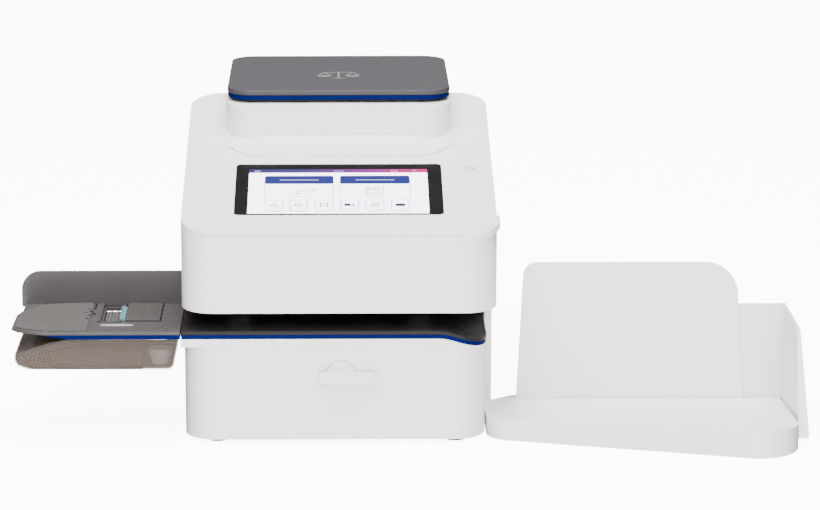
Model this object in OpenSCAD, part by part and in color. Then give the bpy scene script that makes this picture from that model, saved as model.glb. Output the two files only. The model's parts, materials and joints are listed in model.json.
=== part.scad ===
// Franking machine: a base unit with display lid and weighing platform, a feed and sealing unit
// on its left, and a drop stacker on its right. Millimetres. +X right, +Y back, +Z up.

/* [Main body] */
// Width of the upper body
body_w = 268; // [240:1:320]
// Depth of the upper body
body_d = 273; // [250:1:330]
// Corner radius of the upper body in plan
body_r = 28; // [20:1:34]
// Height of the upper body's underside
body_z = 113.7; // [108:0.1:130]
// Height of the top panel's front edge
panel_z = 184.3; // [176:0.1:200]
// Tilt of the top panel, degrees
panel_tilt = 13.8; // [10:0.1:16]
// Wall thickness of the mouldings
wall = 2.5; // [2:0.1:3]
// Thickness of the display lid
lid_t = 3; // [2.5:0.1:3.5]
// Distance from the front to the lid's rear seam
seam_y = 165; // [160:1:170]
// Width of the seams between covers
seam = 0.5; // [0.3:0.1:0.8]

/* [Lower cabinet] */
// Left side of the lower cover, from the middle
low_left = 132; // [126:1:133]
// Right side of the lower cover, from the middle
low_right = 124.7; // [118:0.1:126]
// Height of the lower cover's top edge
cover_top = 84.6; // [80:0.1:88]
// Height of the machine's feet
foot_h = 3; // [2:0.5:6]
// Radius of a foot
foot_r = 9; // [7:0.5:11]
// Distance from the front to the rear housing
rear_y = 104; // [103:1:112]
// Width of the rear housing behind the body
bustle_w = 201; // [180:1:210]
// Distance from the front to the rear housing's back
bustle_y = 372; // [360:1:390]

/* [Deck] */
// Height of the white ledge
ledge_h = 7; // [5:0.5:8]
// Height of the coloured trim
trim_h = 3.7; // [3:0.1:5]
// Thickness of the deck plate
deck_t = 3; // [2.5:0.1:4]
// Depth of the mail path, from the front to the registration wall
path_d = 100; // [96:1:101]
// Drop of the deck at its right end
ramp_drop = 9; // [6:0.5:10]
// Length of the ramp at the right end
ramp_l = 42; // [36:1:50]

/* [Display and buttons] */
// Width of the display glass
glass_w = 178.4; // [160:0.2:184]
// Depth of the display glass, along the panel
glass_d = 98.5; // [88:0.5:100]
// Distance from the front to the middle of the display
glass_y = 79.8; // [76:0.1:82]
// Radius of the power button
button_r = 9.5; // [8:0.5:11]
// Travel of the power button
button_travel = 0.8; // [0.5:0.1:1]

/* [Weighing platform] */
// Width of the platform
platter_w = 199; // [190:1:205]
// Depth of the platform
platter_d = 175; // [165:1:182]
// Height of the platform's top
platter_z = 270; // [266:0.5:280]
// Corner radius of the platform
platter_r = 22; // [16:1:26]
// Overload travel of the platform
platter_travel = 1; // [0.5:0.1:1.2]

/* [Feed and sealing unit] */
// Length of the feed deck to the left of the machine
feed_l = 144; // [130:1:170]
// Height of the registration wall above the deck
feed_wall_h = 29; // [20:1:36]
// Height of the sealer housing's underside
tank_z = 64.5; // [58:0.5:68]
// Depth of the sealer housing
tank_d = 92; // [80:1:94]

/* [Stacker] */
// Width of the stacker tray
tray_w = 263; // [240:1:320]
// Height of the tray's front at the mail's edge
tray_h = 20; // [18:0.5:26]
// Backward tilt of the tray, degrees
tray_tilt = 6; // [4:0.5:8]
// Height of the stacker's back wall
stack_wall_z = 129.4; // [110:0.2:150]
// Height of the stacker's extension
ext_z = 91.8; // [75:0.2:100]
// Travel of the extension
ext_travel = 90; // [40:5:95]

/* [Mechanism] */
// Radius of the mail drive rollers
roller_r = 14; // [12:0.5:15]
// Radius of the roller shafts
shaft_r = 4; // [3:0.5:5]
// Radius of the idler rollers
idler_r = 8; // [6:0.5:9]
// Radius of the carriage rails
rail_r = 4; // [3:0.5:5]
// Travel of the print carriage
carriage_travel = 42; // [30:1:44]
// Radius of the hinge pins
pin_r = 3; // [2.5:0.1:3.5]
// Radius of the release lever's hub
hub_r = 13; // [10:0.5:15]
// Length of the release lever's bar
lever_l = 49; // [42:1:60]

/* [Hidden] */
$fn = 64;
big = 900;
run_fit = 0.05;
gap = 0.3;
body_x = body_w / 2;
cut_t = tan(panel_tilt);
lid_dz = lid_t / cos(panel_tilt);
deck_z = cover_top + ledge_h + trim_h + deck_t;
trim_z = cover_top + ledge_h;
plate_z = trim_z + trim_h;
low_r = body_r - 1;
return_left = min(body_x - 7, low_left - 5);
return_right = min(body_x - 7, low_right + 2.3);

// hinge of the lid
hinge_y = seam_y + 13;
hinge_z = panel_z + hinge_y * cut_t - 13;
arm_x = body_x - 18;
arm_t = 4;

// finger tab of the lid
tab_out = 2.6;
tab_drop = 1.2;
tab_h = 4;

// tongue of the rear cover in front of the pedestal
tongue_x = 102;
tongue_y = seam_y - 22;
tongue_r = 40;
cove_r = 200;
pedestal_y = seam_y + 13;

// platform stack, from the pedestal up
pedestal_z = platter_z - 11.6;
subframe_z = pedestal_z + platter_travel + 0.3;
blue_z = platter_z - 8.7;
grey_z = platter_z - 4.8;
platter_y = pedestal_y + 9;
cell_y = bustle_y - 75;
cell_z = pedestal_z - 29;
cell_h = 18;
cell_l = 130;
post_x = cell_l / 2 - 15;

// mail drive under the deck
roller_z = deck_z + 0.4 - roller_r;
entry_x = -86;
exit_x = 70;
roller_y = 66;
roller_w = 22;
front_bearing_y = 36;
frame_y = rear_y + 3;
frame_t = 2;
gear_y = frame_y + frame_t + 3;
gear_w = 7;
gear_m = 1.5;
gear_n = 30;
pinion_n = 12;
motor_z = roller_z - gear_m * (gear_n + pinion_n) / 2;
motor_r = min(17, roller_z - motor_z - roller_r - 0.5);
bracket_x0 = -min(body_x - 24, low_left - 6);
bracket_x1 = 96;
pulley_r = 11;
belt_t = 1.6;
idler_z = deck_z + 0.9 + idler_r;

// print engine
ceiling_z = body_z + wall;
ceiling_t = 2.5;
rail_z = ceiling_z + 42;
rail_x0 = -6;
rail_gap = 70;
carriage_d = 40;
carriage_y = rear_y - 6 - carriage_d;

// release lever
lever_x = 1.4;
lever_z = 59;

// feed unit
feed_x = -body_x - 0.6;
tip_x = feed_x - feed_l;
wedge_x = tip_x + 49;
tank_x0 = tip_x + 3;
tank_x1 = feed_x - 2;
tank_y = 3;
skin = 2;
rail_drop = 6;

// stacker
tray_x = max(low_right + 1.3, body_x - 8);
tray_x1 = tray_x + tray_w;
tray_cut = tan(tray_tilt);
wall_x0 = tray_x + 30;
wall_x1 = tray_x1 - 32;
wall_y = 104;
wall_t = 3;
lean = 5.6;
ext_t = 3;
ext_x = tray_x1 + 2;
ext_out = 9;
tray_front = -49;

// reference point: middle of the whole footprint, on the ground
mid_x = (tip_x + ext_x + ext_out) / 2;
mid_y = (tray_front + max(bustle_y, platter_y + platter_d)) / 2;

white = [0.93, 0.92, 0.91];
grey = [0.42, 0.42, 0.44];
blue = [0.05, 0.15, 0.62];
black = [0.06, 0.06, 0.07];
steel = [0.72, 0.73, 0.75];
smoke = [0.45, 0.44, 0.45, 0.8];
amber = [0.62, 0.54, 0.50, 0.6];
board = [0.08, 0.35, 0.2];

// ---- shared shapes ----

function top_z(y) = panel_z + y * cut_t;
function ease(s) = s < 0 ? 0 : s > 1 ? 1 : s * s * (3 - 2 * s);
function ramp(x) = -ramp_drop * ease((x - (low_right + 1 - ramp_l)) / ramp_l);
function tray_top(y) = tray_h - (y + 3) * tray_cut;

module plan(x0, x1, y0, y1, r) {
    union() {
        translate([x0 + r, y0]) square([x1 - x0 - 2 * r, y1 - y0]);
        translate([x0, y0 + r]) square([x1 - x0, y1 - y0 - 2 * r]);
        for (x = [x0 + r, x1 - r], y = [y0 + r, y1 - r]) translate([x, y]) circle(r);
    }
}

module block(x0, x1, y0, y1, z0, z1) {
    translate([x0, y0, z0]) cube([x1 - x0, y1 - y0, z1 - z0]);
}

module slab(x0, x1, y0, y1, z0, z1, r) {
    translate([0, 0, z0]) linear_extrude(z1 - z0) plan(x0, x1, y0, y1, r);
}

// everything above the top panel's plane, lowered by drop; it levels off under the platform
module above_panel(drop = 0) {
    union() {
        translate([0, 0, panel_z - drop]) rotate([panel_tilt, 0, 0])
            translate([-big / 2, -big / 2, 0]) cube([big, big, big]);
        translate([-big / 2, -big / 2, pedestal_z - 4 - drop]) cube([big, 2 * big, big]);
    }
}

// places children on the top panel: x across, y up the slope, z outwards
module on_panel(x, y) {
    translate([x, y, top_z(y)]) rotate([panel_tilt, 0, 0]) children();
}

module rod_y(x, z, y0, y1, r) {
    translate([x, y0, z]) rotate([-90, 0, 0]) cylinder(h = y1 - y0, r = r);
}

module rod_x(y, z, x0, x1, r) {
    translate([x0, y, z]) rotate([0, 90, 0]) cylinder(h = x1 - x0, r = r);
}

// outline given in x and z, extruded from y0 to y1
module side_on(y0, y1) {
    translate([0, y1, 0]) rotate([90, 0, 0]) linear_extrude(y1 - y0) children();
}

// outline given in y and z, extruded from x0 to x1
module end_on(x0, x1) {
    translate([x0, 0, 0]) rotate([90, 0, 90]) linear_extrude(x1 - x0) children();
}

module rear_plan(inset) {
    intersection() {
        union() {
            plan(-body_x + inset, body_x - inset, 0, body_d - inset, body_r - inset);
            plan(-bustle_w / 2 + inset, bustle_w / 2 - inset, body_d - 90, bustle_y - inset,
                platter_r - inset);
        }
        translate([-big / 2, rear_y]) square([big, big]);
    }
}

// a band that follows the ramp, between two heights over the level deck
module ramp_band(x0, x1, z0, z1) {
    n = 14;
    start = low_right + 1 - ramp_l;
    bend = [for (i = [0:n]) start + ramp_l * i / n];
    side_on(-1, rear_y) polygon(concat(
        [[x0, z0]],
        [for (x = bend) if (x < x1) [x, z0 + ramp(x)]],
        [[x1, z0 + ramp(x1)], [x1, z1 + ramp(x1)]],
        [for (i = [n:-1:0]) if (bend[i] < x1) [bend[i], z1 + ramp(bend[i])]],
        [[x0, z1]]
    ));
}

// the deck's outline: square at the left, rounded at the front right
module deck_plan(inset) {
    intersection() {
        plan(-body_x - 60, low_right + 1 - inset, inset, rear_y + 60, low_r - inset);
        translate([-body_x, 0]) square([big, path_d - 0.6]);
    }
}

module gear(n, m, w, bore) {
    r = n * m / 2;
    half = 90 / n;
    difference() {
        linear_extrude(w) union() {
            circle(r - 1.2 * m);
            for (i = [0:n - 1]) rotate(i * 360 / n) polygon([
                [(r - 1.4 * m) * cos(half * 1.3), -(r - 1.4 * m) * sin(half * 1.3)],
                [r * cos(half * 0.85), -r * sin(half * 0.85)],
                [(r + 0.9 * m) * cos(half * 0.38), -(r + 0.9 * m) * sin(half * 0.38)],
                [(r + 0.9 * m) * cos(half * 0.38), (r + 0.9 * m) * sin(half * 0.38)],
                [r * cos(half * 0.85), r * sin(half * 0.85)],
                [(r - 1.4 * m) * cos(half * 1.3), (r - 1.4 * m) * sin(half * 1.3)]
            ]);
        }
        translate([0, 0, -1]) cylinder(h = w + 2, r = bore);
    }
}

// ---- base unit ----

module base_pan() {
    color(steel) difference() {
        translate([0, 0, foot_h]) union() {
            difference() {
                linear_extrude(14) rear_plan(wall + gap);
                translate([0, 0, 1.5]) linear_extrude(14) rear_plan(wall + gap + 1.5);
            }
            linear_extrude(1.5) plan(-low_left + wall + gap, low_right - wall - gap,
                wall + gap, rear_y + 20, low_r - wall - gap);
        }
        feet_places() translate([0, 0, foot_h - 1]) cylinder(h = 4, r = 3);
        for (x = [[-body_x, gap - return_left], [return_right - gap, body_x]])
            block(x[0], x[1], rear_y - 1, rear_y + wall + gap, 0, 30);
    }
}

module feet_places() {
    for (p = [[-low_left + 28, 14], [low_right - 26, 14],
            [-body_x + 30, body_d - 33], [body_x - 30, body_d - 33]])
        translate([p[0], p[1], 0]) children();
}

module feet() {
    color(grey) feet_places() union() {
        cylinder(h = foot_h, r = foot_r);
        cylinder(h = foot_h + 4, r = 3 - run_fit);
    }
}

module lower_front_cover() {
    color(white) difference() {
        intersection() {
            difference() {
                plan_tower(0, foot_h, cover_top);
                plan_tower(wall, 0, cover_top + 1);
            }
            ramp_band(-big / 2, low_right + 1, -big, cover_top);
        }
        rod_y(lever_x, lever_z, -1, wall + 1, hub_r + gap);
    }
}

module plan_tower(inset, z0, z1) {
    translate([0, 0, z0]) linear_extrude(z1 - z0) intersection() {
        plan(-low_left + inset, low_right - inset, inset, rear_y + 60, low_r - inset);
        translate([-big / 2, -1]) square([big, rear_y + 1 - gap]);
    }
}

module rear_housing() {
    color(white) difference() {
        union() {
            translate([0, 0, foot_h]) linear_extrude(body_z - foot_h) difference() {
                rear_plan(0);
                rear_plan(wall);
            }
            for (x = [[-body_x, -return_left], [return_right, body_x]])
                block(x[0], x[1], rear_y, rear_y + wall, foot_h, body_z);
        }
        translate([-60, bustle_y - wall - 1, 22]) cube([34, wall + 2, 24]);
        translate([10, bustle_y - wall - 1, 24]) cube([52, wall + 2, 20]);
        for (i = [0:7]) translate([-48 + i * 12, bustle_y - wall - 1, 66]) cube([5, wall + 2, 30]);
    }
}

module power_inlet() {
    color(black) difference() {
        translate([-60 + gap, bustle_y - 24, 22 + gap]) cube([34 - 2 * gap, 24, 24 - 2 * gap]);
        translate([-60 + 4, bustle_y - 16, 22 + 4]) cube([26, 17, 16]);
        for (i = [-1:1]) translate([-44.3 + i * 7, bustle_y - 20, 33.5]) cube([2, 5, 4]);
    }
}

module data_ports() {
    color(steel) difference() {
        translate([10 + gap, bustle_y - 20, 24 + gap]) cube([52 - 2 * gap, 20, 20 - 2 * gap]);
        translate([13, bustle_y - 14, 27]) cube([15, 15, 13]);
        for (x = [33, 48]) translate([x, bustle_y - 14, 29]) cube([11, 15, 6]);
    }
}

// ---- deck ----

module deck_ledge() {
    color(white) intersection() {
        ramp_band(-body_x, low_right + 1, cover_top, trim_z);
        translate([0, 0, -big / 2]) linear_extrude(big) difference() {
            deck_plan(0);
            translate([5, 0]) deck_plan(6);
            translate([-body_x + 6, 6]) square([body_x, big]);
        }
    }
}

module deck_trim() {
    color(blue) intersection() {
        ramp_band(-body_x, low_right + 1, trim_z, plate_z);
        translate([0, 0, -big / 2]) linear_extrude(big) difference() {
            deck_plan(0.4);
            translate([-20, 0]) deck_plan(3.4);
            translate([-body_x - 1, 3.4]) square([body_x, big]);
        }
    }
}

module main_deck() {
    color(grey) difference() {
        intersection() {
            ramp_band(-body_x, low_right + 1, plate_z, deck_z);
            translate([0, 0, -big / 2]) linear_extrude(big) deck_plan(0);
        }
        for (x = [entry_x, exit_x])
            block(x - roller_r - 1, x + roller_r + 1, roller_y - 2, roller_y + roller_w + 2, 80, deck_z + 1);
        block(-10, 30, 55, 90, plate_z + 1, deck_z + 1);
    }
}

module registration_wall() {
    color(black) difference() {
        block(-body_x + 0.5, body_x - 7.5, path_d, rear_y - 0.4, cover_top + 0.4, body_z - 0.2);
        for (x = [entry_x, exit_x]) rod_y(x, roller_z, path_d - 1, rear_y + 1, shaft_r + 1);
    }
}

module main_frame() {
    color(steel) difference() {
        block(-body_x + 13, body_x - 13, frame_y, frame_y + frame_t, foot_h + 2, top_z(frame_y) - 22);
        for (x = [entry_x, exit_x])
            rod_y(x, roller_z, frame_y - 1, frame_y + frame_t + 1, shaft_r + run_fit);
        for (x = [rail_x0, rail_x0 + rail_gap]) rod_y(x, rail_z, frame_y - 1, frame_y + frame_t + 1, rail_r);
        rod_y(entry_x, motor_z, frame_y - 1, frame_y + frame_t + 1, 8);
        rod_y(lever_x, lever_z, frame_y - 1, frame_y + frame_t + 1, shaft_r + run_fit);
    }
}

module bearing_bracket() {
    color(steel) difference() {
        union() {
            block(bracket_x0, bracket_x1, front_bearing_y, front_bearing_y + 2, foot_h + 1.5, plate_z - 4);
            block(bracket_x0, bracket_x1, front_bearing_y + 2, front_bearing_y + 16, foot_h + 1.5,
                foot_h + 3);
        }
        for (x = [entry_x, exit_x])
            rod_y(x, roller_z, front_bearing_y - 1, front_bearing_y + 3, shaft_r + run_fit);
        rod_y(lever_x, lever_z, front_bearing_y - 1, front_bearing_y + 3, shaft_r + run_fit);
    }
}

module drive_shaft(x) {
    color(steel) union() {
        rod_y(x, roller_z, front_bearing_y - 4, gear_y + gear_w + 14, shaft_r);
        rod_y(x, roller_z, front_bearing_y + 2.4, front_bearing_y + 4, shaft_r + 2);
    }
}

module drive_roller(x) {
    color(black) difference() {
        rod_y(x, roller_z, roller_y, roller_y + roller_w, roller_r);
        rod_y(x, roller_z, roller_y - 1, roller_y + roller_w + 1, shaft_r);
    }
}

module pulley(x) {
    difference() {
        union() {
            rod_y(x, roller_z, gear_y + gear_w, gear_y + gear_w + 1.5, pulley_r + 3);
            rod_y(x, roller_z, gear_y + gear_w + 1, gear_y + gear_w + 9, pulley_r);
            rod_y(x, roller_z, gear_y + gear_w + 8.5, gear_y + gear_w + 10, pulley_r + 3);
        }
        rod_y(x, roller_z, gear_y, gear_y + gear_w + 20, shaft_r);
    }
}

module entry_shaft() { drive_shaft(entry_x); }
module exit_shaft() { drive_shaft(exit_x); }
module entry_roller() { drive_roller(entry_x); }
module exit_roller() { drive_roller(exit_x); }

module entry_gear() {
    color(white) union() {
        translate([entry_x, gear_y + gear_w, roller_z]) rotate([90, 0, 0])
            gear(gear_n, gear_m, gear_w, shaft_r);
        pulley(entry_x);
    }
}

module exit_pulley() { color(white) pulley(exit_x); }

module drive_belt() {
    y0 = gear_y + gear_w + 2;
    color(black) difference() {
        belt_run(y0, y0 + 6, pulley_r + 0.15 + belt_t);
        belt_run(y0 - 1, y0 + 7, pulley_r + 0.15);
    }
}

module belt_run(y0, y1, r) {
    union() {
        rod_y(entry_x, roller_z, y0, y1, r);
        rod_y(exit_x, roller_z, y0, y1, r);
        block(entry_x, exit_x, y0, y1, roller_z - r, roller_z + r);
    }
}

module drive_motor() {
    color(steel) difference() {
        union() {
            rod_y(entry_x, motor_z, frame_y - 34.2, frame_y - 2.5, motor_r);
            rod_y(entry_x, motor_z, frame_y - 2.6, frame_y + 1.5, 7);
        }
        rod_y(entry_x, motor_z, frame_y - 30, frame_y + 5, 2.5 + run_fit);
    }
}

module motor_pinion() {
    color(steel) union() {
        translate([entry_x, gear_y + gear_w, motor_z]) rotate([90, 0, 0])
            gear(pinion_n, gear_m, gear_w, 2.5);
        rod_y(entry_x, motor_z, frame_y - 24, gear_y + gear_w + 1, 2.5);
    }
}

module idler_bracket() {
    color(steel) difference() {
        union() {
            for (y = [roller_y + 1, roller_y + roller_w - 3])
                block(entry_x - 8, entry_x + 8, y, y + 2, idler_z - 4, ceiling_z + 6);
            for (y = [roller_y + 1, roller_y + roller_w - 3])
                block(exit_x - 8, exit_x + 8, y, y + 2, idler_z - 4, ceiling_z + 6);
            for (x = [entry_x, exit_x])
                block(x - 8, x + 8, roller_y + 1, roller_y + roller_w - 1, ceiling_z + ceiling_t,
                    ceiling_z + 6);
        }
        for (x = [entry_x, exit_x]) rod_y(x, idler_z, roller_y, roller_y + roller_w, 2 + run_fit);
    }
}

module idler(x) {
    color(black) union() {
        rod_y(x, idler_z, roller_y + 4, roller_y + roller_w - 4, idler_r);
        rod_y(x, idler_z, roller_y + 0.5, roller_y + roller_w - 0.5, 2);
    }
}

module entry_idler() { idler(entry_x); }
module exit_idler() { idler(exit_x); }

module release_lever() {
    color(white) union() {
        rod_y(lever_x, lever_z, -1.5, 1.5, hub_r);
        rod_y(lever_x, lever_z, 1.4, frame_y + frame_t + 3, shaft_r);
        rod_y(lever_x, lever_z, roller_y, roller_y + 12, 9);
        side_on(-9, -1.4) plan(lever_x + 5.5 - lever_l / 2, lever_x + 5.5 + lever_l / 2,
            lever_z - 4.3, lever_z + 4.3, 4);
    }
}

// ---- upper body ----

module upper_shell() {
    color(white) difference() {
        union() {
            translate([0, 0, body_z]) linear_extrude(big / 4) difference() {
                plan(-body_x, body_x, 0, body_d, body_r);
                plan(-body_x + wall, body_x - wall, wall, body_d - wall, body_r - wall);
            }
            translate([0, 0, body_z]) linear_extrude(wall) difference() {
                plan(-body_x + 1, body_x - 1, 1, body_d - 1, body_r - 1);
                plan(-body_x + 12, body_x - 12, 12, body_d - 12, body_r - 12);
            }
        }
        above_panel(lid_dz + gap);
        block(-30, 30, body_d - 14, body_d + 1, body_z - 1, body_z + 30);
    }
}

module throat_ceiling() {
    color(black) difference() {
        union() {
            intersection() {
                slab(-body_x + wall + gap, body_x - wall - gap, wall + gap, body_d,
                    ceiling_z, ceiling_z + ceiling_t, body_r - wall - gap);
                block(-body_x, body_x, 0, frame_y - gap, body_z, rail_z);
            }
            block(rail_x0 - 10, rail_x0 + rail_gap + 10, 10, 14, ceiling_z, rail_z + 10);
        }
        for (x = [entry_x, exit_x])
            block(x - 10, x + 10, roller_y - 1, roller_y + roller_w + 1, body_z, ceiling_z + 4);
        block(rail_x0 + rail_gap / 2 - 16, rail_x0 + rail_gap / 2 + 16, carriage_y + 2 - carriage_travel,
            rear_y - 3, body_z, ceiling_z + 4);
        for (x = [rail_x0, rail_x0 + rail_gap]) rod_y(x, rail_z, 11, 15, rail_r);
    }
}

module carriage_rails() {
    color(steel) for (x = [rail_x0, rail_x0 + rail_gap]) rod_y(x, rail_z, 11, frame_y + frame_t + 2, rail_r);
}

module print_carriage() {
    mid = rail_x0 + rail_gap / 2;
    color(grey) difference() {
        union() {
            block(mid - 26, mid + 26, carriage_y, carriage_y + carriage_d, ceiling_z + 4, rail_z + 6);
            for (x = [rail_x0, rail_x0 + rail_gap]) rod_y(x, rail_z, carriage_y, carriage_y + carriage_d, 9);
            block(mid - 13, mid + 13, carriage_y + 3, carriage_y + carriage_d - 3, deck_z + 4, ceiling_z + 5);
        }
        for (x = [rail_x0, rail_x0 + rail_gap])
            rod_y(x, rail_z, carriage_y - 1, carriage_y + carriage_d + 1, rail_r + run_fit);
        block(mid - 15, mid + 15, carriage_y + 3, carriage_y + carriage_d - 3, ceiling_z + 8, rail_z + 20);
    }
}

module ink_cartridge() {
    mid = rail_x0 + rail_gap / 2;
    color(black) union() {
        block(mid - 14.7, mid + 14.7, carriage_y + 3.3, carriage_y + carriage_d - 3.3, ceiling_z + 8,
            rail_z + 10);
        block(mid - 10, mid + 10, carriage_y + 8, carriage_y + 24, rail_z + 9, rail_z + 13);
    }
}

module service_station() {
    color(grey) difference() {
        block(-118, -70, 14, 60, ceiling_z + ceiling_t, ceiling_z + 24);
        for (x = [-113, -91]) block(x, x + 17, 20, 54, ceiling_z + 12, ceiling_z + 25);
    }
}

module main_board() {
    color(board) union() {
        block(-118, 10, frame_y + 56, frame_y + 57.6, 20, 100);
        for (i = [0:3]) block(-110 + i * 28, -94 + i * 28, frame_y + 57.6, frame_y + 61, 34, 50);
        block(-60, -30, frame_y + 57.6, frame_y + 66, 62, 92);
    }
}

module power_supply() {
    color(steel) difference() {
        block(-64, 66, 282, 334, 8, 62);
        for (i = [0:9]) block(-50 + i * 11, -45 + i * 11, 281, 283, 18, 52);
        block(-62, 64, 284, 332, 10, 60);
    }
}

module rear_top_cover() {
    color(white) difference() {
        union() {
            difference() {
                translate([0, 0, body_z]) linear_extrude(big / 4) union() {
                    intersection() {
                        plan(-body_x, body_x, 0, body_d, body_r);
                        translate([-big / 2, seam_y]) square([big, big]);
                    }
                    tongue_plan(0);
                }
                above_panel(0);
            }
            difference() {
                cove();
                linear_extrude(big / 2) pedestal_plan(0);
            }
        }
        difference() {
            translate([-big / 2, -1, 0]) cube([big, big, big / 2]);
            above_panel(lid_dz);
        }
        translate([0, 0, body_z]) linear_extrude(big / 4)
            plan(-bustle_w / 2 + 20, bustle_w / 2 - 20, pedestal_y + 14, body_d - 16, 8);
    }
}

// plan of the tongue that reaches forward under the pedestal
module tongue_plan(grow) {
    plan(-tongue_x - grow, tongue_x + grow, tongue_y - grow, tongue_y + 2 * tongue_r + 10, tongue_r);
}

// height of the cove over the panel, this far in from its edge
function cove_h(d) = 0.06 + cove_r - sqrt(cove_r * cove_r - d * d);

module cove() {
    n = 10;
    depth = 1.5;
    r = tongue_r - 1.2;
    run_x = tongue_x - tongue_r;
    rise = [for (i = [0:n]) [r * i / n, cove_h(r * i / n)]];
    on_panel(0, tongue_y + tongue_r) union() {
        for (s = [-1, 1]) translate([s * run_x, 0, 0]) rotate_extrude()
            polygon(concat([for (p = rise) [r - p[0], p[1]]], [[0, -depth], [r, -depth]]));
        translate([0, -r, 0]) end_on(-run_x, run_x)
            polygon(concat(rise, [[r, -depth], [0, -depth]]));
    }
}

module pedestal_plan(inset) {
    plan(-bustle_w / 2 + inset, bustle_w / 2 - inset, pedestal_y + inset, bustle_y - inset, platter_r - inset);
}

module scale_pedestal() {
    color(white) difference() {
        translate([0, 0, body_z]) linear_extrude(pedestal_z - body_z) pedestal_plan(0);
        translate([0, 0, body_z - 1]) linear_extrude(pedestal_z - body_z + 1 - wall) pedestal_plan(wall);
        difference() {
            translate([-big / 2, -1, 0]) cube([big, body_d + 1 + gap, big / 2]);
            above_panel(0);
        }
        block(post_x - 18, post_x + 18, cell_y - 16, cell_y + 16, pedestal_z - wall - 1, pedestal_z + 1);
    }
}

module load_cell() {
    color(steel) difference() {
        block(-cell_l / 2, cell_l / 2, cell_y - 12, cell_y + 12, cell_z, cell_z + cell_h);
        for (x = [-10, 10]) rod_y(x, cell_z + cell_h / 2, cell_y - 13, cell_y + 13, 6);
        block(-10, 10, cell_y - 13, cell_y + 13, cell_z + cell_h / 2 - 1.5, cell_z + cell_h / 2 + 1.5);
    }
}

module load_cell_bracket() {
    color(steel) union() {
        block(-cell_l / 2 - 4, -cell_l / 2 + 30, cell_y - 13, bustle_y - wall, cell_z - 3, cell_z);
        block(-cell_l / 2 - 4, -cell_l / 2 + 30, bustle_y - wall - 2.5, bustle_y - wall, cell_z, cell_z + 16);
    }
}

module platter_slab(inset, z0, z1) {
    slab(-platter_w / 2 + inset, platter_w / 2 - inset, platter_y + inset, platter_y + platter_d - inset,
        z0, z1, platter_r - inset * 0.6);
}

module platform_frame() {
    color(black) union() {
        platter_slab(3, subframe_z, blue_z);
        for (x = [-42, 28]) block(x, x + 14, platter_y + 1.5, platter_y + 4, subframe_z, blue_z);
        block(post_x - 14, post_x + 14, cell_y - 12, cell_y + 12, cell_z + cell_h + platter_travel + gap,
            subframe_z + 0.5);
    }
}

module platform_trim() {
    color(blue) platter_slab(0.4, blue_z, grey_z);
}

module weighing_platter() {
    color(grey) platter_slab(0, grey_z, platter_z);
}

// ---- display lid ----

module top_cover() {
    color(white) difference() {
        union() {
            panel_layer(0, lid_dz) intersection() {
                plan(-body_x, body_x, 0, body_d, body_r);
                translate([-big / 2, -1]) square([big, seam_y - seam + 1]);
            }
            panel_layer(tab_drop, lid_dz) tab_plan();
            panel_layer(lid_dz - 0.1, lid_dz + tab_h) difference() {
                tab_plan();
                plan(-body_x - gap, body_x + gap, -gap, body_d, body_r + gap);
            }
        }
        rod_x(hinge_y, hinge_z, -big / 2, tongue_r - tongue_x, hinge_reach());
        rod_x(hinge_y, hinge_z, tongue_x - tongue_r, big / 2, hinge_reach());
        for (a = [0, 3, 6, 9]) translate([0, hinge_y, hinge_z]) rotate([a, 0, 0])
            translate([0, -hinge_y, -hinge_z]) linear_extrude(big / 2) tongue_plan(seam);
        on_panel(0, glass_y) translate([0, 0, -5]) linear_extrude(6)
            plan(-glass_w / 2 - 0.15, glass_w / 2 + 0.15, -glass_d / 2 - 0.15, glass_d / 2 + 0.15, 4.15);
        on_panel(button_x(), button_y()) translate([0, 0, -5]) cylinder(h = 6, r = button_r + 0.2);
    }
}

function hinge_reach() = norm([hinge_y - seam_y, top_z(seam_y) - hinge_z]) + seam;
function button_x() = body_x - 19.5;
function button_y() = 118.4;

// an outline extruded between two planes, each this far under the top panel
module panel_layer(upper, lower) {
    difference() {
        translate([0, 0, body_z]) linear_extrude(big / 4) children();
        above_panel(upper);
        difference() {
            translate([-big / 2, -big / 4, 0]) cube([big, big, big / 2]);
            above_panel(lower);
        }
    }
}

// the finger tab, round the lid's front right corner
module tab_plan() {
    intersection() {
        plan(-body_x, body_x + tab_out, -tab_out, body_d, body_r + tab_out);
        translate([body_x - 31, -5]) square([60, 38]);
    }
}

module hinge_arms() {
    inner = [hinge_y - 23, hinge_z - 18];
    color(steel) for (s = [-1, 1]) difference() {
        union() {
            end_on(s * arm_x - arm_t / 2, s * arm_x + arm_t / 2) union() {
                translate([hinge_y, hinge_z]) circle(6);
                polygon([[hinge_y, hinge_z + 3], [inner[0] + 1, inner[1] + 4], [inner[0] - 2, inner[1] - 2],
                    [hinge_y, hinge_z - 4]]);
            }
            difference() {
                block(s * arm_x - arm_t / 2, s * arm_x + arm_t / 2, inner[0] - 7, inner[0] + 1,
                    inner[1] - 2, panel_z + 60);
                above_panel(lid_dz);
            }
            difference() {
                block(s * arm_x - 8, s * arm_x + 8, inner[0] - 24, inner[0] + 1, inner[1], panel_z + 60);
                above_panel(lid_dz);
                translate([-big / 2, -1, 0]) difference() {
                    cube([big, big, big / 2]);
                    translate([big / 2, 1, 0]) above_panel(lid_dz + 2);
                }
            }
        }
        rod_x(hinge_y, hinge_z, -big / 2, big / 2, pin_r + run_fit);
    }
}

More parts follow.
